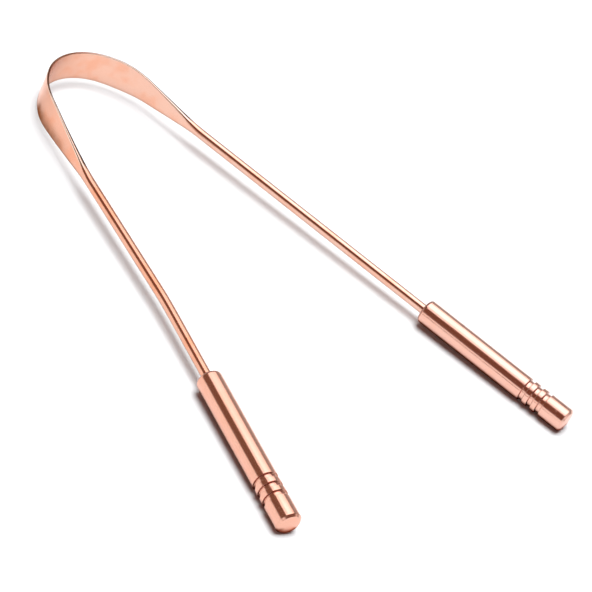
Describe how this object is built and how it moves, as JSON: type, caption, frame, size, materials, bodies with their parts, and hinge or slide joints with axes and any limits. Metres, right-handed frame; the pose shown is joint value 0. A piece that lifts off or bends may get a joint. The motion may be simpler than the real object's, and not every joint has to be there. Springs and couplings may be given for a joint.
{
  "type": "tongue scraper",
  "caption": "Tongue scraper: a bow of flat copper strip that tapers into round spring arms, each ending in a turned handle with grooves near its tip.",
  "frame": {"origin": "on the plane that the strip's lower edge rests on, under the middle of the whole scraper", "axes": "+Y points from the handles to the crown of the bow, +Z across the width of the strip, +X completes a right-handed frame"},
  "size_m": [0.095, 0.1403, 0.008],
  "materials": {
    "polished_strip": "bare copper, satin from forging, edges polished",
    "polished_handle": "bare copper, turned and polished"
  },
  "bodies": {
    "blade": {"scraper_blade": "polished_strip"},
    "left_side": {"left_arm": "polished_strip", "left_handle": "polished_handle"},
    "right_side": {"right_arm": "polished_strip", "right_handle": "polished_handle"}
  },
  "joints": [
    {"name": "left_flex", "type": "hinge", "parent": "blade", "child": "left_side", "pos_m": [-0.01504, 0.06144, 0.004], "axis": [0, 0, 1], "range_deg": [-8, 12], "stiffness_Nm_per_rad": 0.5},
    {"name": "right_flex", "type": "hinge", "parent": "blade", "child": "right_side", "pos_m": [0.01189, 0.06144, 0.004], "axis": [0, 0, -1], "range_deg": [-8, 12], "stiffness_Nm_per_rad": 0.5}
  ]
}
